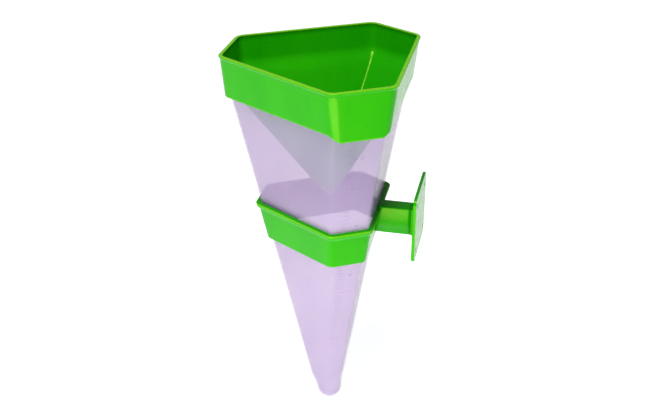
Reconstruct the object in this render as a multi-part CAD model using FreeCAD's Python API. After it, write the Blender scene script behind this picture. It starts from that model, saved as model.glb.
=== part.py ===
import FreeCAD, Part
import math
import os

# Wedge rain gauge on a wall bracket. A catch funnel with a deep collar sits on a tapered
# measuring vessel, the vessel hangs by its taper in a holder ring, and the holder's arm slides
# down onto a rail on the wall plate.
# Millimetres. Origin: middle of the wall plate's back face. +Y into the wall, +Z up.
# "Depth" is measured down from the catch edge. "Long" is the distance from the gauge's axis to
# a long side of its three-sided plan, and "short" to one of the cut-off corners.

# Places
reach = 84.6            # wall face to the gauge's upright axis
rim_level = 149.0       # the catch edge, above the origin
total_height = 369.0    # catch edge to the vessel's tip
play = 0.4              # gap between pieces that slide on each other
pocket = 1.0            # how far a cutting shape runs past the face it opens

# Catch funnel
rim_long = 69.3
rim_short = 90.6
rim_corner = 10.9
foot_long = 64.8        # the collar's lower edge on its long sides
foot_short = 88.5       # and on its short sides; the two by the wall hang lower
foot_corner = 9.7
foot_depth = 38.2
hang_depth = 43.8
hang_from = 59.3        # along a long side, the edge starts to drop here
hang_to = 67.0
rim_wall = 1.7
foot_wall = 1.4
bead_out = 0.9          # rolled bead just under the catch edge
bead_height = 2.6
bead_round = 0.6
crease_start = 24.0     # the inner wall starts to curve in here
crease_end = 30.0       # and is a straight-sided cone from here
crease_path = ((0.45, 0.18), (0.75, 0.48))      # shares of the way down, and of the way in
ledge_under = 31.5      # underside of the ledge that sits on the vessel
cone_long = 59.8        # outer size of the cone at the ledge's underside
cone_short = 82.4
cone_corner = 4.5
cone_wall = 1.6
outlet_depth = 134.0
outlet_radius = 3.2
outlet_wall = 1.3
outlet_bore = 4.0       # length of the round bore at the outlet
least_corner = 2.2

# Measuring vessel
vessel_rim = 31.9
vessel_wall = 1.5
vessel_level = 40.0     # the depth of the next two sizes
vessel_long = 60.8
vessel_short = 82.5
long_taper = 0.1580     # size lost for each millimetre down
short_taper = 0.2146
vessel_corner = 4.0
blend_depth = 341.0     # the plan starts to turn round here
dome_depth = 356.5      # and is a round dome from here
dome_radius = 12.4
dome_angles = (20, 40, 58, 74, 86)

# Holder
ring_top = 142.3
ring_foot = 179.8
ring_gap = 0.5
ring_wall = 2.7
ring_round = 0.6
lip_out = 1.9
lip_height = 6.0
arm_half = 7.4
arm_height = 25.9
arm_wall = 2.2
arm_round = 1.2
arm_in = 6.0            # how far the arm's end lies inside the band before it is trimmed
socket_half = 7.9
socket_height = 26.4
socket_front = 7.6      # socket's front face, out from the wall
socket_round = 0.5
roof_rise = 3.0         # the arm's roof, above the ring's top edge

# Wall plate
plate_size = 63.6
plate_thick = 2.9
plate_corner = 6.0
plate_edge = 0.7
neck_half = 1.8
head_half = 4.2
neck_depth = 1.3
head_depth = 1.5
rail_height = 25.0
stop_height = 3.0
stop_gap = 0.3          # the socket comes down onto the stop
screw_pitch = 44.0
screw_hole = 2.25
screw_sink = 4.2

socket_top = rim_level - ring_top + roof_rise
socket_foot = socket_top - socket_height
rail_foot = socket_foot - stop_gap
rail_top = rail_foot + rail_height


def mix(start, end, part):
    return start + (end - start) * part


# Three-sided plan with cut-off corners, each of its six angles rounded. Two neighbouring sides
# at distances d1 and d2 meet at (d1 - d2/2)/0.75 and (d2 - d1/2)/0.75 of their normals.
def plan_wire(long, short, corner, depth):
    level = rim_level - depth
    sizes = [long, short] * 3
    normals = [(math.sin(math.radians(60 * k)), math.cos(math.radians(60 * k))) for k in range(6)]
    back = corner / math.cos(math.radians(30))
    turns = []
    for k in range(6):
        after = (k + 1) % 6
        weight = (sizes[k] - 0.5 * sizes[after]) / 0.75
        weight_after = (sizes[after] - 0.5 * sizes[k]) / 0.75
        middle = math.radians(60 * k + 30)
        centre_x = weight * normals[k][0] + weight_after * normals[after][0] - back * math.sin(middle)
        centre_y = weight * normals[k][1] + weight_after * normals[after][1] - back * math.cos(middle)
        arc = []
        for step in (0, 30, 60):
            angle = math.radians(60 * k + step)
            arc.append(FreeCAD.Vector(centre_x + corner * math.sin(angle),
                                      centre_y + corner * math.cos(angle) - reach, level))
        turns.append(arc)
    edges = []
    for k in range(6):
        edges.append(Part.Arc(*turns[k]).toShape())
        edges.append(Part.LineSegment(turns[k][2], turns[(k + 1) % 6][0]).toShape())
    return Part.Wire(edges)


# Solid through plans listed as (depth, long, short, corner), from the top down.
def stack(sections):
    wires = [plan_wire(long, short, corner, depth) for depth, long, short, corner in sections]
    return Part.makeLoft(wires, True, True)


def box(x0, x1, y0, y1, z0, z1):
    return Part.makeBox(x1 - x0, y1 - y0, z1 - z0, FreeCAD.Vector(x0, y0, z0))


# Edges of a shape that run along one of the axes.
def edges_along(shape, axis):
    return [e for e in shape.Edges if abs(getattr(e.tangentAt(e.FirstParameter), axis)) > 0.9]


# Catch funnel

def collar_section(depth, inset):
    return (depth, mix(rim_long, foot_long, depth / foot_depth) - inset,
            mix(rim_short, foot_short, depth / hang_depth) - inset,
            mix(rim_corner, foot_corner, depth / hang_depth) - inset)


def cone_section(depth, inset):
    part = (depth - ledge_under) / (outlet_depth - ledge_under)
    end = outlet_radius + outlet_wall
    return (depth, mix(cone_long, end, part) - inset, mix(cone_short, end, part) - inset,
            max(mix(cone_corner, 0.95 * end, part) - inset, least_corner))


# The open space inside: an upright wall, a curved crease, then the cone down to its outlet.
def catch_space():
    mouth = collar_section(0.0, rim_wall)
    wall_end = collar_section(crease_start, rim_wall)
    cone_start = cone_section(crease_end, cone_wall)
    sections = [(-pocket, mouth[1], mouth[2], mouth[3]), mouth, wall_end]
    for down, inward in crease_path:
        sections.append((mix(wall_end[0], cone_start[0], down),
                         mix(wall_end[1], cone_start[1], inward),
                         mix(wall_end[2], cone_start[2], inward),
                         mix(wall_end[3], cone_start[3], inward)))
    sections.append(cone_start)
    bore = (outlet_radius, outlet_radius, 0.95 * outlet_radius)
    sections.append((outlet_depth - outlet_bore,) + bore)
    sections.append((outlet_depth + pocket,) + bore)
    return stack(sections)


# What is missing below a long side's edge, which slopes down to the short sides in the corners.
def edge_cut(side):
    slope = (hang_to - hang_from) / (hang_depth - foot_depth)
    low = hang_depth + pocket
    outline = [(hang_from, foot_depth), (hang_from + slope * (low - foot_depth), low)]
    outline = outline + [(-u, depth) for u, depth in reversed(outline)]
    start = vessel_long - pocket - reach
    corners = [FreeCAD.Vector(u, start, rim_level - depth) for u, depth in outline]
    face = Part.Face(Part.makePolygon(corners + corners[:1]))
    cut = face.extrude(FreeCAD.Vector(0, rim_long - vessel_long + 5.0 * pocket, 0))
    cut.rotate(FreeCAD.Vector(0, -reach, 0), FreeCAD.Vector(0, 0, 1), 120 * side)
    return cut


# The short side away from the wall ends level with the long sides.
def front_cut():
    low = hang_depth + pocket
    start = FreeCAD.Vector(-hang_to, -reach - vessel_short - rim_short, rim_level - low)
    return Part.makeBox(2 * hang_to, rim_short, low - foot_depth, start)


def catch_funnel():
    block = stack([collar_section(0.0, 0.0), collar_section(hang_depth, 0.0)])
    bead = stack([collar_section(0.5 * bead_round, bead_round - bead_out),
                  collar_section(bead_round, -bead_out),
                  collar_section(bead_height - bead_out, -bead_out), collar_section(bead_height, 0.0)])
    under_top = collar_section(ledge_under, mix(rim_wall, foot_wall, ledge_under / hang_depth))
    under = stack([under_top, collar_section(hang_depth + pocket, foot_wall)])
    cone = stack([cone_section(ledge_under - pocket, 0.0), cone_section(outlet_depth, 0.0)])
    collar = block.fuse(bead).cut(under)
    for side in range(3):
        collar = collar.cut(edge_cut(side))
    collar = collar.cut(front_cut())
    return collar.fuse(cone).cut(catch_space()).removeSplitter()


# Measuring vessel

# Plan of the tapered vessel: its sides run down straight, then turn into a round tip.
def vessel_section(depth, inset):
    long = vessel_long - long_taper * (depth - vessel_level)
    short = vessel_short - short_taper * (depth - vessel_level)
    corner = vessel_corner
    if depth > blend_depth:
        part = ((depth - blend_depth) / (dome_depth - blend_depth)) ** 1.5
        long = mix(long, dome_radius, part)
        short = mix(short, dome_radius, part)
        corner = mix(corner, 0.99 * dome_radius, part)
    return depth, long - inset, short - inset, corner - min(inset, 0.6 * corner)


# Straight taper, rounding plan and dome, all set in by the same amount.
def vessel_stack(inset, first_depth):
    sections = [vessel_section(first_depth, inset)]
    for part in (0.0, 0.25, 0.5, 0.75, 1.0):
        sections.append(vessel_section(mix(blend_depth, dome_depth, part), inset))
    width = dome_radius - inset
    drop = (total_height - dome_depth - inset) / math.sin(math.radians(dome_angles[-1]))
    for angle in dome_angles:
        radius = width * math.cos(math.radians(angle))
        sections.append((dome_depth + drop * math.sin(math.radians(angle)), radius, radius, 0.98 * radius))
    return stack(sections)


def measuring_vessel():
    return vessel_stack(0.0, vessel_rim).cut(vessel_stack(vessel_wall, vessel_rim - pocket))


# Holder

def ring_section(depth, out):
    long, short = vessel_section(depth, -out)[1:3]
    return depth, long, short, vessel_corner + out


def ring_hole(past):
    return stack([ring_section(ring_top - past, ring_gap), ring_section(ring_foot + past, ring_gap)])


def ring_band():
    out = ring_gap + ring_wall
    lip = out + lip_out
    band = stack([ring_section(ring_top, lip - ring_round), ring_section(ring_top + ring_round, lip),
                  ring_section(ring_top + 0.6 * lip_height, lip),
                  ring_section(ring_top + 0.85 * lip_height, lip - 0.5 * lip_out),
                  ring_section(ring_top + lip_height, out),
                  ring_section(ring_foot - ring_round, out),
                  ring_section(ring_foot, out - ring_round)])
    return band.cut(ring_hole(pocket))


# Arm with a roof and two sides, open below, from inside the band to the socket.
def arm_channel():
    start = vessel_section(ring_top, 0.0)[1] - reach - arm_in
    end = play - socket_front
    solid = box(-arm_half, arm_half, start, end, socket_top - arm_height, socket_top)
    roof = [e for e in edges_along(solid, "y") if e.CenterOfMass.z > socket_top - pocket]
    solid = solid.makeFillet(arm_round, roof)
    inside = arm_half - arm_wall
    inner = box(-inside, inside, start - pocket, end - arm_wall,
                socket_top - arm_height - pocket, socket_top - arm_wall)
    return solid.cut(inner)


# Block on the arm's end with a T-shaped slot that slides down over the rail.
def socket():
    back = -plate_thick - play
    block = box(-socket_half, socket_half, -socket_front, back, socket_foot, socket_top)
    front = [e for e in edges_along(block, "z") if e.CenterOfMass.y < back - pocket]
    block = block.makeFillet(socket_round, front)
    neck_end = -plate_thick - neck_depth
    neck = box(-neck_half - play, neck_half + play, neck_end - play, back + pocket,
               socket_foot - pocket, socket_top + pocket)
    head = box(-head_half - play, head_half + play, neck_end - head_depth - play, neck_end + play,
               socket_foot - pocket, socket_top + pocket)
    return block.cut(neck).cut(head)


def holder():
    arm = arm_channel().cut(ring_hole(roof_rise + pocket))
    return ring_band().fuse(arm).fuse(socket()).removeSplitter()


# Wall plate

def screw_cut(x, z):
    outward = FreeCAD.Vector(0, -1, 0)
    shank = Part.makeCylinder(screw_hole, plate_thick + 2.0 * pocket, FreeCAD.Vector(x, pocket, z), outward)
    sink_depth = screw_sink - screw_hole
    sink = Part.makeCone(screw_hole, screw_sink, sink_depth,
                         FreeCAD.Vector(x, sink_depth - plate_thick, z), outward)
    return shank.fuse(sink)


def wall_plate():
    half = 0.5 * plate_size
    plate = box(-half, half, -plate_thick, 0.0, -half, half)
    plate = plate.makeFillet(plate_corner, edges_along(plate, "y"))
    front = [e for e in plate.Edges if e.BoundBox.YMax < 0.1 - plate_thick]
    plate = plate.makeFillet(plate_edge, front)
    neck_end = -plate_thick - neck_depth
    head_front = neck_end - head_depth + play
    neck = box(-neck_half, neck_half, neck_end, -plate_thick, rail_foot, rail_top)
    head = box(-head_half, head_half, head_front, neck_end, rail_foot, rail_top)
    stop = box(-socket_half, socket_half, head_front, -plate_thick, rail_foot - stop_height, rail_foot)
    plate = plate.fuse(neck).fuse(head).fuse(stop)
    place = 0.5 * screw_pitch
    for x in (-place, place):
        for z in (-place, place):
            plate = plate.cut(screw_cut(x, z))
    return plate.removeSplitter()


def main():
    os.makedirs("parts", exist_ok=True)
    nodes = {"catch_funnel": catch_funnel(), "measuring_vessel": measuring_vessel(),
             "holder": holder(), "wall_plate": wall_plate()}
    for name, shape in nodes.items():
        shape.exportStep("parts/" + name + ".step")
        print(name, "valid", shape.isValid(), "solids", len(shape.Solids),
              "volume cm3", round(shape.Volume / 1000.0, 1))


main()
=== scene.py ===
import math

import bpy
import numpy as np
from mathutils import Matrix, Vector


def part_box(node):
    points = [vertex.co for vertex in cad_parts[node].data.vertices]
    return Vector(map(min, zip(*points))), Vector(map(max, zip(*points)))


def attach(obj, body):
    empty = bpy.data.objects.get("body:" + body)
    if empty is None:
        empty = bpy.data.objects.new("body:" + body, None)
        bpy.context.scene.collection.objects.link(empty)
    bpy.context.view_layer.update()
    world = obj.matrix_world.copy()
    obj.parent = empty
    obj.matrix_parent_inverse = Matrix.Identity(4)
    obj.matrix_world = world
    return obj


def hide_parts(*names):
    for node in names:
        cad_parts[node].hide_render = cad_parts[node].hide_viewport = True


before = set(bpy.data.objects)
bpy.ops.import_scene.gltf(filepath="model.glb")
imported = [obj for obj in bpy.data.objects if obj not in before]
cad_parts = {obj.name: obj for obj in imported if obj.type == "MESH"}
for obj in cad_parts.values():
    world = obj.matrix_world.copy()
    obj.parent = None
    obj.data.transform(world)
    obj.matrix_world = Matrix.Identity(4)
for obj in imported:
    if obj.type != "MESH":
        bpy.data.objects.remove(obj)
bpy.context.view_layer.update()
mm = 0.001

# Every place hangs from the wall face at Y = 0, the catch edge's level and the gauge's upright axis
gauge = {
    "rim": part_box("catch_funnel")[1].z,       # level of the catch edge
    "axisY": -0.0846,                         # the upright axis, in front of the wall face
    "sides": 6,
    "sideSteps": 5,                           # points on each side between its two arcs
    "hanging": (0, 1, 0, 0, 0, 1),            # the two short sides towards the wall
    "tall": 369.0,                            # millimetres, catch edge to tip
}
print("frame loaded, catch edge at", round(gauge["rim"] / mm, 2), "mm")


# Shapes

def mix(start, end, part):
    return start + (end - start) * part


def planLoops(rows, arcSteps=6, hang=0.0):
    # rows: one (depth, long, short, corner) for each level, in millimetres, and hang, how much
    # lower that row lies on the two short sides by the wall, sloping there round the corners.
    # A loop is a triangle's plan with its corners cut off: six sides, every other one "long" or
    # "short" from the axis, joined by arcs. Two neighbouring side lines 60 degrees apart meet at
    # weights (d1 - d2/2)/0.75 and (d2 - d1/2)/0.75 of their normals, and the arc's centre lies
    # corner/cos(30) back from there. A corner radius just under both distances makes the loop nearly
    # a circle. Depth turns into a level below the catch edge.
    depth, long, short, corner = np.asarray(rows, float).T
    sideSteps = gauge["sideSteps"]
    hang = np.broadcast_to(hang, depth.shape)
    arcs, share = [], []
    for k in range(gauge["sides"]):
        first, second = (long, short) if k % 2 == 0 else (short, long)
        a, b = math.radians(60 * k), math.radians(60 * k + 60)
        w1, w2 = (first - 0.5 * second) / 0.75, (second - 0.5 * first) / 0.75
        mid = 0.5 * (a + b)
        back = corner / math.cos(math.radians(30))
        cx = w1 * math.sin(a) + w2 * math.sin(b) - back * math.sin(mid)
        cy = w1 * math.cos(a) + w2 * math.cos(b) - back * math.cos(mid)
        turn = np.linspace(a, b, arcSteps + 1)
        arcs.append(np.stack([cx[:, None] + corner[:, None] * np.sin(turn),
                              cy[:, None] + corner[:, None] * np.cos(turn)], axis=-1))
    part = np.linspace(0, 1, sideSteps + 2)[1:-1][None, :, None]
    points = []
    for k in range(gauge["sides"]):
        following = arcs[(k + 1) % gauge["sides"]]
        points += [arcs[k], arcs[k][:, -1:, :] * (1 - part) + following[:, :1, :] * part]
        rise = np.linspace(gauge["hanging"][k], gauge["hanging"][(k + 1) % gauge["sides"]], arcSteps + 1)
        share += [rise, np.full(sideSteps, rise[-1])]
    flat = np.concatenate(points, axis=1) * mm
    lower = depth[:, None] + hang[:, None] * np.concatenate(share)[None, :]
    level = gauge["rim"] - lower * mm
    return np.stack([flat[..., 0], flat[..., 1] + gauge["axisY"], level], axis=-1)


def gridFaces(rows, columns, closeRows=False, closeColumns=True):
    # quads between neighbouring rows and columns of a point grid, wrapping round where asked
    r = np.arange(rows if closeRows else rows - 1)
    c = np.arange(columns if closeColumns else columns - 1)
    rr, cc = np.meshgrid(r, c, indexing="ij")
    r2, c2 = (rr + 1) % rows, (cc + 1) % columns
    quads = np.stack([rr * columns + cc, rr * columns + c2, r2 * columns + c2, r2 * columns + cc], axis=-1)
    return quads.reshape(-1, 4)


def enclosed(points, faces):
    # six times the volume inside: each face is a fan of triangles from its first corner,
    # and the triple products v0.(v1 x v2) add up
    total = 0.0
    for block in faces:
        block = np.asarray(block)
        for k in range(1, block.shape[1] - 1):
            v0, v1, v2 = points[block[:, 0]], points[block[:, k]], points[block[:, k + 1]]
            total += np.einsum("ij,ij->", v0, np.cross(v1, v2))
    return total


def makeMesh(name, points, blocks, smooth=True):
    # blocks: arrays of faces, all of one size in each; a closed skin's faces are turned outwards
    points = np.asarray(points, float).reshape(-1, 3)
    if enclosed(points, blocks) < 0:
        blocks = [np.asarray(block)[:, ::-1] for block in blocks]
    faces = [face for block in blocks for face in np.asarray(block).tolist()]
    mesh = bpy.data.meshes.new(name)
    mesh.from_pydata(points.tolist(), [], faces)
    mesh.polygons.foreach_set("use_smooth", np.full(len(mesh.polygons), smooth))
    mesh.update()
    piece = bpy.data.objects.new(name, mesh)
    bpy.context.scene.collection.objects.link(piece)
    return piece


def shellPiece(name, rows, arcSteps, edge, hang=0.0):
    # a wall as one skin: the rows run up one face, over the edge and down the other, back to the first
    # edge: 1 on the rows that get a painted highlight, kept as a point attribute
    points = planLoops(rows, arcSteps, hang)
    piece = makeMesh(name, points, [gridFaces(points.shape[0], points.shape[1], closeRows=True)])
    edgeHighlight = piece.data.attributes.new("paintedEdgeHighlight", "FLOAT", "POINT")
    edgeHighlight.data.foreach_set("value", np.repeat(edge, points.shape[1]))
    return piece


def bezierRows(p0, p1, p2, p3, steps):
    # cubic between two rows, steered by the two in the middle: a soft crease in the wall
    t = np.linspace(0, 1, steps)[:, None]
    a, b, c, d = (np.asarray(p, float)[None, :] for p in (p0, p1, p2, p3))
    return a * (1 - t) ** 3 + 3 * b * t * (1 - t) ** 2 + 3 * c * t ** 2 * (1 - t) + d * t ** 3


def edgeRows(row, radius, fromAngle, toAngle, steps=5):
    # a rounded edge: the row moves out by radius*cos and down by radius*sin of a turning angle
    turn = np.radians(np.linspace(fromAngle, toAngle, steps))
    out, drop = radius * np.cos(turn), radius * np.sin(turn)
    return np.asarray(row, float)[None, :] + np.stack([drop, out, out, out], axis=1)


# Catch funnel

funnelSet = {
    "rim": (69.3, 90.6, 10.9), "foot": (64.8, 88.5, 9.7), "deep": 38.2, "hang": 5.6,
    "rimWall": 1.7, "footWall": 1.4, "footRound": 0.35, "bead": 0.9, "beadTall": 2.6,
    # the catch edge's rounding, then how far the painted edge highlight reaches down from the catch edge
    # and up from the foot
    "rimRound": 0.45, "rimHighlight": 0.8, "footHighlight": 0.7,
    "creaseStart": 20.5, "creaseEnd": 37.0, "soft": 7.5,
    "ledge": 31.5, "cone": (59.8, 82.4, 4.5), "coneWall": 1.6, "valley": 3.4,
    "outlet": 134.0, "bore": 3.2, "boreWall": 1.3, "boreLong": 4.0,
}


def collarRow(depth, inset):
    # straight from the catch edge's plan to the foot's, all three measures less by inset
    rim, foot = np.array(funnelSet["rim"]), np.array(funnelSet["foot"])
    return np.concatenate([[depth], mix(rim, foot, depth / funnelSet["deep"]) - inset])


def coneRow(depth, inset):
    # straight from the ledge's plan to the outlet's circle; the corner radius is no less than the
    # valley's where that fits between the sides
    s = funnelSet
    end = s["bore"] + s["boreWall"]
    part = (depth - s["ledge"]) / (s["outlet"] - s["ledge"])
    long, short, corner = mix(np.array(s["cone"]), np.array([end, end, 0.98 * end]), part)
    least = min(s["valley"], 0.97 * (min(long, short) - inset))
    return np.array([depth, long - inset, short - inset, max(corner - inset, least)])


def makeFunnel():
    s = funnelSet
    nip = s["footRound"]
    # the skirt's outside, from its foot up to the bead
    rows = list(edgeRows(collarRow(s["deep"] - nip, nip), nip, 90, 0))
    rows += [collarRow(d, 0.0) for d in np.linspace(s["deep"] - 1.5, s["beadTall"] + 0.7, 8)]
    # out under the bead and round it
    rows += [collarRow(s["beadTall"], -0.12), collarRow(s["beadTall"] - 0.35, -0.55)]
    rows += list(edgeRows(collarRow(s["bead"] + 0.1, 0.0), s["bead"], 30, -90, 8))
    # over the catch edge and down the inside wall
    insideFrom = len(rows)
    rows += list(edgeRows(collarRow(s["rimRound"], s["rimWall"] + s["rimRound"]), -s["rimRound"], 90, 0))
    rows += [collarRow(d, s["rimWall"]) for d in np.linspace(1.6, s["creaseStart"] - 2.5, 5)]
    start, end = collarRow(s["creaseStart"], s["rimWall"]), coneRow(s["creaseEnd"], s["coneWall"])
    rows += list(bezierRows(start, collarRow(s["creaseStart"] + s["soft"], s["rimWall"]),
                            coneRow(s["creaseEnd"] - s["soft"], s["coneWall"]), end, 14))
    rows += [coneRow(d, s["coneWall"]) for d in np.linspace(s["creaseEnd"] + 5, s["outlet"] - 8, 12)]
    bore = [s["bore"], s["bore"], 0.98 * s["bore"]]
    ups = (s["boreLong"] + 1.0, 0.5 * s["boreLong"], 0.3)
    rows += [np.array([s["outlet"] - up] + bore) for up in ups]
    # round the outlet's lip and up the cone's outside to the ledge over the vessel
    lip = s["bore"] + 0.5 * s["boreWall"]
    rows += [np.array([s["outlet"], lip, lip, 0.99 * lip])]
    rows += [coneRow(s["outlet"] - 0.4, 0.0)]
    rows += [coneRow(d, 0.0) for d in np.linspace(s["outlet"] - 6, s["ledge"] + 4, 12)]
    rows += [coneRow(s["ledge"] + 0.5, 0.0), coneRow(s["ledge"] + 0.05, -0.5)]
    rows += [collarRow(s["ledge"] + 0.05, s["rimWall"] + 0.3), collarRow(s["ledge"] + 0.6, s["footWall"])]
    insideTo = len(rows)
    rows += [collarRow(d, s["footWall"]) for d in np.linspace(s["ledge"] + 2, s["deep"] - nip, 3)]
    rows = np.array(rows)
    # only the skirt, outside and inside, reaches lower by the wall: more and more from the bead or
    # the ledge down to the foot
    skirt = (rows[:, 0] < s["deep"] + 1) & (rows[:, 1] > s["foot"][0] - s["footWall"] - nip)
    fromLevel = np.where(np.arange(len(rows)) < len(rows) // 2, s["beadTall"], s["ledge"] + 1)
    hang = s["hang"] * np.clip((rows[:, 0] - fromLevel) / (s["deep"] - fromLevel), 0, 1) * skirt
    hang[insideFrom:insideTo] = 0
    # painted highlight: rows along the catch edge and the skirt's foot get the pale edge colour
    edgeHighlight = np.clip(2 * (s["rimHighlight"] - rows[:, 0]), 0, 1)
    edgeHighlight += np.clip(rows[:, 0] - s["deep"] + s["footHighlight"], 0, 1) * skirt
    piece = shellPiece("catchFunnel", rows, 10, edgeHighlight, hang)
    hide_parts("catch_funnel")
    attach(piece, "funnel")
    return piece


# Measuring vessel

vesselSet = {
    "rim": 31.9, "rimRound": 0.5, "wallFrom": 36.0, "wall": 1.5,
    "level": 40.0, "long": 60.8, "short": 82.5,             # sizes at that level
    "longTaper": 0.1580, "shortTaper": 0.2146, "corner": 4.0,
    "blend": 341.0, "dome": 356.5, "domeRadius": 12.4,
}


def vesselRow(depth, inset, corner=None):
    # straight taper, then the plan turns into a circle, part = share^1.5
    s = vesselSet
    long = s["long"] - s["longTaper"] * (depth - s["level"])
    short = s["short"] - s["shortTaper"] * (depth - s["level"])
    corner = s["corner"] if corner is None else corner
    part = max(0.0, (depth - s["blend"]) / (s["dome"] - s["blend"])) ** 1.5
    long, short = mix(long, s["domeRadius"], part), mix(short, s["domeRadius"], part)
    corner = mix(corner, 0.99 * s["domeRadius"], part)
    return np.array([depth, long - inset, short - inset, corner - min(inset, 0.6 * corner)])


def domeRows(inset):
    # the tip: a quarter of an ellipse turned about the axis, short of the pole, which a fan closes
    s = vesselSet
    angle = np.radians(np.linspace(0, 87, 10)[1:])
    width = (s["domeRadius"] - inset) * np.cos(angle)
    depth = s["dome"] + (gauge["tall"] - s["dome"] - inset) * np.sin(angle)
    return np.stack([depth, width, width, width * 0.995], axis=1)


def makeVessel():
    s = vesselSet
    nip = s["rimRound"]
    depths = np.concatenate([np.linspace(s["wallFrom"], s["blend"], 26),
                             np.linspace(s["blend"] + 2, s["dome"], 10)])
    outer = [vesselRow(d, 0.0) for d in depths] + list(domeRows(0.0))
    inner = [vesselRow(d, s["wall"]) for d in depths] + list(domeRows(s["wall"]))
    over = list(edgeRows(vesselRow(s["rim"] + nip, nip), nip, 0, -90, 4))
    inside = list(edgeRows(vesselRow(s["rim"] + nip, s["wall"] - nip), nip, -90, -180, 4))
    points = planLoops(np.array(outer[::-1] + over + inside + inner))
    count, around = points.shape[:2]
    # each end closes on a point at the middle of its dome
    ends = np.stack([points[0].mean(axis=0), points[-1].mean(axis=0)])
    ends[0, 2] = gauge["rim"] - gauge["tall"] * mm
    ends[1, 2] = ends[0, 2] + s["wall"] * mm
    k = np.arange(around)
    nextK = (k + 1) % around
    base = (count - 1) * around
    fans = np.concatenate([np.stack([np.full(around, count * around), nextK, k], axis=1),
                           np.stack([np.full(around, count * around + 1), base + k, base + nextK], axis=1)])
    flat = np.concatenate([points.reshape(-1, 3), ends])
    piece = makeMesh("vesselBody", flat, [gridFaces(count, around), fans])
    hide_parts("measuring_vessel")
    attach(piece, "vessel")
    return piece


# Scale, raised on one of the vessel's three corner faces

scaleSet = {
    "face": 60,             # degrees from the wall's direction
    "area": 20000.0,        # catch area in square millimetres
    "apex": 415.3,          # depth where the inner taper would close
    "share": 0.0373,        # inner volume = share * height above the apex, cubed
    "out": 0.28, "sunk": 0.03, "tickHigh": 0.55, "firstDepth": 46.0,
    "near": -8.0, "short": 5.0, "long": 9.0,
    "textAt": 3.2, "textTall": 3.0, "numbers": (5, 10, 15, 20, 40, 50, 60, 80),
}


def levelFor(rain):
    # depth of the water level for that many millimetres of rain
    s = scaleSet
    return s["apex"] - (rain * s["area"] / s["share"]) ** (1.0 / 3.0)


def onFace(side, depth, lift):
    # place on the face: sideways along it, down it by depth, and out from it
    s = vesselSet
    outward = s["short"] - s["shortTaper"] * (depth - s["level"]) + lift
    a = math.radians(scaleSet["face"])
    x = outward * math.sin(a) - side * math.cos(a)
    y = outward * math.cos(a) + side * math.sin(a)
    return np.stack([x * mm, y * mm + gauge["axisY"],
                     gauge["rim"] - depth * mm * np.ones_like(x)], axis=-1)


def makeTicks():
    # each tick is a low ridge: its height over the face is an ellipse's arc across it,
    # out*sqrt(1 - u^2), fading towards both ends by sqrt(1 - (2t - 1)^8)
    s = scaleSet
    rain = np.concatenate([np.arange(1, 40), np.arange(40, 101, 2)]).astype(float)
    depth = levelFor(rain)
    shown = depth > s["firstDepth"]
    rain, depth = rain[shown], depth[shown]
    length = np.where(rain % 5 == 0, s["long"], s["short"])
    u = np.linspace(-1, 1, 7)[None, None, :]
    t = np.linspace(0, 1, 6)[None, :, None]
    side = s["near"] + length[:, None, None] * t
    fade = np.sqrt(np.clip(1 - (2 * t - 1) ** 8, 0, 1))
    lift = s["out"] * np.sqrt(1 - u ** 2) * fade - s["sunk"]
    down = depth[:, None, None] + 0.5 * s["tickHigh"] * u
    points = onFace(side, down, lift)
    count, along, across = points.shape[:3]
    quads = gridFaces(along, across, closeColumns=False)
    every = (quads[None] + (np.arange(count) * along * across)[:, None, None]).reshape(-1, 4)
    return points.reshape(-1, 3), every


def makeNumber(text, depth):
    # a raised number at its tick's level: the flat letters are made a mesh and then laid on the face
    s = scaleSet
    curve = bpy.data.curves.new("number", "FONT")
    curve.body = text
    curve.size = s["textTall"]
    curve.extrude = 0.5 * s["out"]
    curve.align_y = "CENTER"
    curve.resolution_u = 3
    holder = bpy.data.objects.new("number", curve)
    bpy.context.scene.collection.objects.link(holder)
    mesh = bpy.data.meshes.new_from_object(holder)
    flat = np.empty(len(mesh.vertices) * 3)
    mesh.vertices.foreach_get("co", flat)
    flat = flat.reshape(-1, 3)
    lift = flat[:, 2] + 0.5 * s["out"] - s["sunk"]
    points = onFace(s["textAt"] + flat[:, 0], depth - flat[:, 1], lift)
    faces = [list(face.vertices) for face in mesh.polygons]
    bpy.data.objects.remove(holder)
    return points, faces


def makeScale():
    points, quads = makeTicks()
    faces = quads.tolist()
    blocks = [points]
    start = len(points)
    for rain in scaleSet["numbers"]:
        more, letters = makeNumber(str(rain), levelFor(float(rain)))
        faces += [[k + start for k in face] for face in letters]
        blocks.append(more)
        start += len(more)
    mesh = bpy.data.meshes.new("scaleMarks")
    mesh.from_pydata(np.concatenate(blocks).tolist(), [], faces)
    mesh.update()
    piece = bpy.data.objects.new("scaleMarks", mesh)
    bpy.context.scene.collection.objects.link(piece)
    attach(piece, "vessel")
    return piece


# Holder

holderSet = {
    "top": 142.3, "foot": 179.8, "gap": 0.5, "wall": 2.7, "lip": 1.9, "lipTall": 6.0, "round": 0.6,
    # the inner and lip roundings, then the painted edge highlight: its centre below the lip's top, also its
    # reach up from the foot, and its half width
    "innerRound": 0.5, "lipRound": 1.1, "highlightAt": 0.7, "highlightHalf": 0.6,
    "lipFade": (-3.0, -1.2, -1.6, 0.8),                     # four levels about the lip's foot
    "armHalf": 7.4, "armTall": 25.9, "armWall": 2.2, "armRound": 1.2, "armInnerRound": 0.5,
    "roofRise": 3.0, "armInBand": 1.4, "armInSocket": 0.3,
    "socketHalf": 7.9, "socketTall": 26.4, "socketFront": 7.6, "socketRound": 0.6,
    "socketSoft": ((0.0, 0.4), (0.12, 0.12), (0.45, 0.0)),  # each end's rows: along it, and drawn in
    "plateThick": 2.9, "play": 0.4, "neck": 1.8, "head": 4.2, "neckDeep": 1.3, "headDeep": 1.5,
}


def ringRow(depth, out):
    # the vessel's plan moved outwards, its corner radius growing by 0.6 of that
    return vesselRow(depth, -out, vesselSet["corner"] - 0.4 * out)


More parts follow.
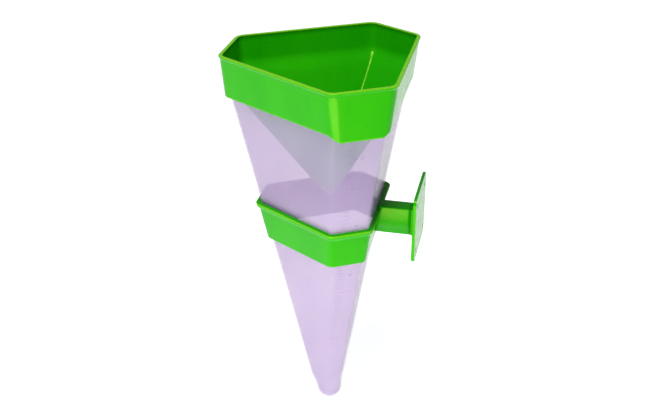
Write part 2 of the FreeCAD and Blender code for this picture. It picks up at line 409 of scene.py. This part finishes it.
def makeRing():
    s = holderSet
    band, r = s["gap"] + s["wall"], s["round"]
    lip = band + s["lip"]
    nip, bend = s["innerRound"], s["lipRound"]
    # inside face up, over the lip's rounded top, down its outside and the band's
    rows = [ringRow(d, s["gap"]) for d in np.linspace(s["foot"] - nip, s["top"] + nip, 7)]
    rows += list(edgeRows(ringRow(s["top"] + nip, s["gap"] + nip), nip, -180, -90, 4))
    rows += list(edgeRows(ringRow(s["top"] + bend, lip - bend), bend, -90, 0, 6))
    low = s["top"] + s["lipTall"]
    fade = [ringRow(low + d, out) for d, out in zip(s["lipFade"], (lip, lip, band, band))]
    rows += list(bezierRows(*fade, 8))
    rows += [ringRow(d, band) for d in np.linspace(low + 4, s["foot"] - r - 1, 5)]
    rows += list(edgeRows(ringRow(s["foot"] - r, band - r), r, 0, 90))
    rows += list(edgeRows(ringRow(s["foot"] - nip, s["gap"] + nip), nip, 90, 180, 4))[:-1]
    rows = np.array(rows)
    # painted highlight: rows along the lip's top and the band's foot get the pale edge colour
    edgeHighlight = np.clip(1 - abs(rows[:, 0] - s["top"] - s["highlightAt"]) / s["highlightHalf"], 0, 1)
    edgeHighlight += np.clip(rows[:, 0] - s["foot"] + s["highlightAt"], 0, 1)
    return shellPiece("holderRing", rows, 8, edgeHighlight)


def archProfile(half, tall, radius):
    # an upside-down U from one foot over both rounded shoulders to the other foot
    left = np.radians(np.linspace(180, 90, 6))
    right = np.radians(np.linspace(90, 0, 6))
    x = np.concatenate([[-half, -half], -half + radius + radius * np.cos(left),
                        half - radius + radius * np.cos(right), [half, half]])
    z = np.concatenate([[-tall, -0.5 * tall], -radius + radius * np.sin(left),
                        -radius + radius * np.sin(right), [-0.5 * tall, -tall]])
    return x, z


def makeArm():
    # the U is swept towards the wall; its start leans with the band's tapered face
    s, v = holderSet, vesselSet
    roof = s["top"] - s["roofRise"]
    xo, zo = archProfile(s["armHalf"], s["armTall"], s["armRound"])
    xi, zi = archProfile(s["armHalf"] - s["armWall"], s["armTall"], s["armInnerRound"])
    # the inner U's roof and shoulders lie lower by the wall, its feet stay
    zi = np.where(zi > -0.4 * s["armTall"], zi - s["armWall"], zi)
    x, z = np.concatenate([xo, xi[::-1]]), np.concatenate([zo, zi[::-1]])
    depth = roof - z
    start = v["long"] - v["longTaper"] * (depth - v["level"]) + s["gap"] + s["armInBand"]
    end = -gauge["axisY"] / mm - s["socketFront"] + s["armInSocket"]
    t = np.linspace(0, 1, 9)[:, None]
    y = mix(start[None, :], end, t)
    points = np.stack([np.broadcast_to(x, y.shape) * mm, y * mm + gauge["axisY"],
                       np.broadcast_to(gauge["rim"] - depth * mm, y.shape)], axis=-1)
    rows, columns = y.shape
    half = columns // 2
    a = np.arange(half - 1)
    mirror = columns - 1 - a
    cap = np.stack([a, a + 1, mirror - 1, mirror], axis=1)
    skin = gridFaces(rows, columns)
    return makeMesh("holderArm", points, [skin, cap[:, ::-1], cap + (rows - 1) * columns])


def makeSocket():
    # the socket's plan, a block with a T-shaped slot, is swept down; its first and last rows draw
    # in a little for a softened edge
    s = holderSet
    h, front, r = s["socketHalf"], -s["socketFront"], s["socketRound"]
    back = -s["plateThick"] - s["play"]
    neckY = -s["plateThick"] - s["neckDeep"]
    headY = neckY - s["headDeep"] - s["play"]
    nx, hx = s["neck"] + s["play"], s["head"] + s["play"]
    shoulder = neckY + s["play"]
    turn = np.radians(np.linspace(0, 90, 5))
    left = np.stack([-h + r - r * np.cos(turn), front + r - r * np.sin(turn)], axis=1)
    right = np.stack([h - r + r * np.sin(turn), front + r - r * np.cos(turn)], axis=1)
    plan = np.concatenate([[(-h, back)], left, right,
                           [(h, back), (nx, back), (nx, shoulder), (hx, shoulder), (hx, headY),
                            (-hx, headY), (-hx, shoulder), (-nx, shoulder), (-nx, back)]])
    outline = np.arange(len(plan)) < len(left) + len(right) + 2
    top = s["top"] - s["roofRise"]
    down, into = np.array(s["socketSoft"]).T
    depths = top + np.concatenate([down, [0.5 * s["socketTall"]], s["socketTall"] - down[::-1]])
    draw = np.concatenate([into, [0.0], into[::-1]])
    outward = np.zeros_like(plan)
    outward[outline, 0] = np.sign(plan[outline, 0])
    outward[outline & (plan[:, 1] < front + r + 0.1), 1] = -1.0
    flat = plan[None] - draw[:, None, None] * outward[None]
    points = np.concatenate([flat * mm, np.broadcast_to((gauge["rim"] - depths * mm)[:, None, None],
                                                        (len(depths), len(plan), 1))], axis=-1)
    count = len(plan)
    caps = np.stack([np.arange(count), np.arange(count)[::-1] + (len(depths) - 1) * count])
    return makeMesh("holderSocket", points, [gridFaces(len(depths), count), caps[:1, ::-1], caps[1:, ::-1]],
                    smooth=False)


def makeHolder():
    pieces = [makeRing(), makeArm(), makeSocket()]
    for piece in pieces:
        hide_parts("holder")
        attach(piece, "holder")
    return pieces


funnel = makeFunnel()
vessel = makeVessel()
marks = makeScale()
holderPieces = makeHolder()
print("funnel, vessel, scale and holder made")


# Materials

# the scales are those of the noises that vary each measure between its two values
# edge is the pale, yellower colour of the painted highlight along the rims and feet
greenSet = {"base": (0.012, 0.35, 0.0003), "deep": (0.007, 0.32, 0.0003), "flowScale": 28,
            "edge": (0.16, 0.50, 0.008), "rough": (0.17, 0.25), "roughScale": 130,
            "shine": 0.26, "tint": (0.80, 1.0, 0.15), "waves": 0.15,
            "glowIn": 0.10, "glowReach": (0.4, 1.0, 0.1), "glowDepth": 0.0012}
lilacSet = {"base": (0.47, 0.36, 0.58), "deep": (0.44, 0.34, 0.57), "cloudScale": 16,
            "rough": (0.18, 0.26), "roughScale": 90, "shine": 0.35, "waves": 0.04,
            "cover": (0.36, 0.41), "raisedCover": (0.42, 0.50), "coverScale": 22}
skinSet = {"sinkScale": 45, "grainScale": 1400, "grainShare": 0.06, "height": 0.0002}


def newMaterial(name):
    material = bpy.data.materials.new(name)
    material.use_nodes = True
    nodes = material.node_tree.nodes
    return material, nodes, material.node_tree.links, nodes["Principled BSDF"]


def noiseOf(nodes, links, scale, detail, stretch=(1, 1, 1)):
    # noise in the piece's own coordinates, stretched by axis
    place = nodes.new("ShaderNodeTexCoord")
    turn = nodes.new("ShaderNodeMapping")
    turn.inputs["Scale"].default_value = stretch
    noise = nodes.new("ShaderNodeTexNoise")
    noise.inputs["Scale"].default_value = scale
    noise.inputs["Detail"].default_value = detail
    links.new(place.outputs["Object"], turn.inputs["Vector"])
    links.new(turn.outputs["Vector"], noise.inputs["Vector"])
    return noise.outputs["Fac"]


def rangeOf(nodes, links, value, low, high):
    # a noise stays mostly between 0.35 and 0.65, so that stretch is spread from low to high
    ranged = nodes.new("ShaderNodeMapRange")
    for name, number in (("From Min", 0.35), ("From Max", 0.65), ("To Min", low), ("To Max", high)):
        ranged.inputs[name].default_value = number
    links.new(value, ranged.inputs["Value"])
    return ranged.outputs["Result"]


def blendOf(nodes, links, value, first, second):
    blend = nodes.new("ShaderNodeMix")
    blend.data_type = "RGBA"
    blend.inputs["A"].default_value = (*first, 1)
    blend.inputs["B"].default_value = (*second, 1)
    links.new(value, blend.inputs["Factor"])
    return blend.outputs["Result"]


def mouldedSkin(nodes, links, shader, strength):
    # the fine waviness that a polished mould leaves: slow sink marks with a faint grain on top
    slow = noiseOf(nodes, links, skinSet["sinkScale"], 2)
    grain = noiseOf(nodes, links, skinSet["grainScale"], 2)
    both = nodes.new("ShaderNodeMath")
    both.operation = "MULTIPLY_ADD"
    both.inputs[1].default_value = skinSet["grainShare"]
    links.new(grain, both.inputs[0])
    links.new(slow, both.inputs[2])
    bump = nodes.new("ShaderNodeBump")
    bump.inputs["Strength"].default_value = strength
    bump.inputs["Distance"].default_value = skinSet["height"]
    links.new(both.outputs["Value"], bump.inputs["Height"])
    links.new(bump.outputs["Normal"], shader.inputs["Normal"])


def greenPlastic():
    s = greenSet
    material, nodes, links, shader = newMaterial("greenPolypropylene")
    flow = rangeOf(nodes, links, noiseOf(nodes, links, s["flowScale"], 4, (1, 1, 0.35)), 0.0, 1.0)
    body = blendOf(nodes, links, flow, s["base"], s["deep"])
    # edges with the attribute get a paler, yellower colour, a painted highlight; a piece without the
    # attribute has none
    edgeHighlight = nodes.new("ShaderNodeAttribute")
    edgeHighlight.attribute_name = "paintedEdgeHighlight"
    edged = nodes.new("ShaderNodeMix")
    edged.data_type = "RGBA"
    edged.inputs["B"].default_value = (*s["edge"], 1)
    links.new(edgeHighlight.outputs["Fac"], edged.inputs["Factor"])
    links.new(body, edged.inputs["A"])
    links.new(edged.outputs["Result"], shader.inputs["Base Color"])
    gloss = noiseOf(nodes, links, s["roughScale"], 3)
    links.new(rangeOf(nodes, links, gloss, *s["rough"]), shader.inputs["Roughness"])
    shader.inputs["Specular IOR Level"].default_value = s["shine"]
    shader.inputs["Specular Tint"].default_value = (*s["tint"], 1)
    shader.inputs["Subsurface Weight"].default_value = s["glowIn"]
    shader.inputs["Subsurface Radius"].default_value = s["glowReach"]
    shader.inputs["Subsurface Scale"].default_value = s["glowDepth"]
    mouldedSkin(nodes, links, shader, s["waves"])
    return material


def lilacPlastic(name, cover):
    s = lilacSet
    material, nodes, links, shader = newMaterial(name)
    cloud = rangeOf(nodes, links, noiseOf(nodes, links, s["cloudScale"], 3, (1, 1, 0.3)), 0.0, 1.0)
    links.new(blendOf(nodes, links, cloud, s["base"], s["deep"]), shader.inputs["Base Color"])
    gloss = noiseOf(nodes, links, s["roughScale"], 3)
    links.new(rangeOf(nodes, links, gloss, *s["rough"]), shader.inputs["Roughness"])
    density = noiseOf(nodes, links, s["coverScale"], 2)
    links.new(rangeOf(nodes, links, density, *cover), shader.inputs["Alpha"])
    shader.inputs["Specular IOR Level"].default_value = s["shine"]
    mouldedSkin(nodes, links, shader, s["waves"])
    return material


def dress(piece, material):
    piece.data.materials.clear()
    piece.data.materials.append(material)


green = greenPlastic()
lilac = lilacPlastic("lilacWall", lilacSet["cover"])
raised = lilacPlastic("lilacRaised", lilacSet["raisedCover"])
for piece in [funnel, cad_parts["wall_plate"]] + holderPieces:
    dress(piece, green)
dress(vessel, lilac)
dress(marks, raised)


# Floor, light, camera

stageSet = {"drop": 0.09, "half": 25.0, "white": (0.94, 0.94, 0.94), "rough": 0.8, "glow": 0.72,
            "lampAim": 0.10}        # the lamps look this far below the catch edge
worldSet = {"colour": (0.92, 0.95, 1.0), "strength": 0.26}
# azimuth and elevation as the subject sees the lamp, distance, width, height, power, colour
lampSet = {
    "keyFront": (65, 13, 1.6, 0.9, 0.5, 0.4, (1.0, 0.98, 0.94)),
    "keyHigh": (88, 62, 1.3, 0.45, 0.45, 16.0, (1.0, 0.98, 0.94)),
    "strip": (92, -23.3, 0.735, 1.0, 0.14, 4.2, (1.0, 0.98, 0.92)),
}
cameraSet = {"azimuth": 103.15, "elevation": 28.73, "roll": -0.232, "distance": 0.9029,
             "beside": -0.0064, "below": 0.1535, "lens": 54.297, "sensor": 36.0}


def makeFloor():
    z = gauge["rim"] - gauge["tall"] * mm - stageSet["drop"]
    h = stageSet["half"]
    floor = makeMesh("studioFloor", [(-h, -h, z), (h, -h, z), (h, h, z), (-h, h, z)],
                     [np.array([[0, 1, 2, 3]])], False)
    material, *_, shader = newMaterial("paleFloor")
    shader.inputs["Base Color"].default_value = (*stageSet["white"], 1)
    shader.inputs["Roughness"].default_value = stageSet["rough"]
    shader.inputs["Emission Color"].default_value = (1, 1, 1, 1)
    shader.inputs["Emission Strength"].default_value = stageSet["glow"]
    floor.data.materials.append(material)


def direction(azimuth, elevation):
    # unit vector from the subject towards a viewer: azimuth 0 stands at -Y, 90 at +X
    a, e = math.radians(azimuth), math.radians(elevation)
    return np.array([math.sin(a) * math.cos(e), -math.cos(a) * math.cos(e), math.sin(e)])


def aimed(carrier, place, target):
    carrier.location = Vector(place)
    carrier.rotation_euler = (Vector(target) - Vector(place)).to_track_quat("-Z", "Y").to_euler()


def makeLamps():
    centre = np.array([0, gauge["axisY"], gauge["rim"] - stageSet["lampAim"]])
    for name, (azimuth, elevation, distance, width, height, power, colour) in lampSet.items():
        light = bpy.data.lights.new(name, "AREA")
        light.shape = "RECTANGLE"
        light.size = width
        light.size_y = height
        light.energy = power
        light.color = colour
        lamp = bpy.data.objects.new(name, light)
        bpy.context.scene.collection.objects.link(lamp)
        aimed(lamp, centre + direction(azimuth, elevation) * distance, centre)
        lamp.visible_camera = False


def makeWorld():
    world = bpy.data.worlds.new("softStudio")
    bpy.context.scene.world = world
    world.use_nodes = True
    back = world.node_tree.nodes["Background"]
    back.inputs["Color"].default_value = (*worldSet["colour"], 1)
    back.inputs["Strength"].default_value = worldSet["strength"]


def makeCamera():
    s = cameraSet
    camera = bpy.data.cameras.new("camera")
    camera.lens = s["lens"]
    camera.sensor_width = s["sensor"]
    eye = bpy.data.objects.new("camera", camera)
    bpy.context.scene.collection.objects.link(eye)
    target = np.array([0, gauge["axisY"] + s["beside"], gauge["rim"] - s["below"]])
    aimed(eye, target + direction(s["azimuth"], s["elevation"]) * s["distance"], target)
    eye.rotation_euler.rotate_axis("Z", math.radians(s["roll"]))
    bpy.context.scene.camera = eye


makeFloor()
makeLamps()
makeWorld()
makeCamera()
bpy.context.scene.view_settings.view_transform = "Standard"
print("stage, light and camera set")
